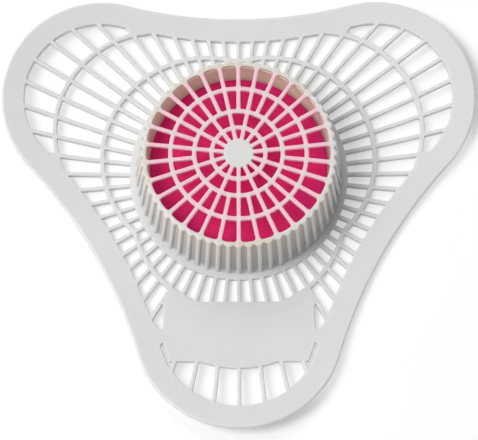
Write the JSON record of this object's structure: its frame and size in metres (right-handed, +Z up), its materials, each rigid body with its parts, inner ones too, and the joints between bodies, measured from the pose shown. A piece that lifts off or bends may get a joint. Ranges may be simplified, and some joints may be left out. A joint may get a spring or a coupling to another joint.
{
  "type": "urinal deodorizer screen",
  "caption": "Lobed lattice screen with a ribbed round cage that holds a deodorizer block, laid in a urinal bowl over the drain.",
  "frame": {"origin": "on the axis of the round cage, in the plane that the screen lies on", "axes": "+Z up, out through the cage's grille; -Y towards the lobe with the bare rectangular plate; +X across it"},
  "size_m": [0.19, 0.1755, 0.03],
  "materials": {
    "white_plastic": "soft white moulded plastic, satin, slightly translucent where it is thin",
    "block": "pressed magenta deodorizer block, slightly waxy and mottled"
  },
  "bodies": {
    "root": {"screen": "white_plastic", "deodorizer_block": "block"}
  },
  "joints": []
}
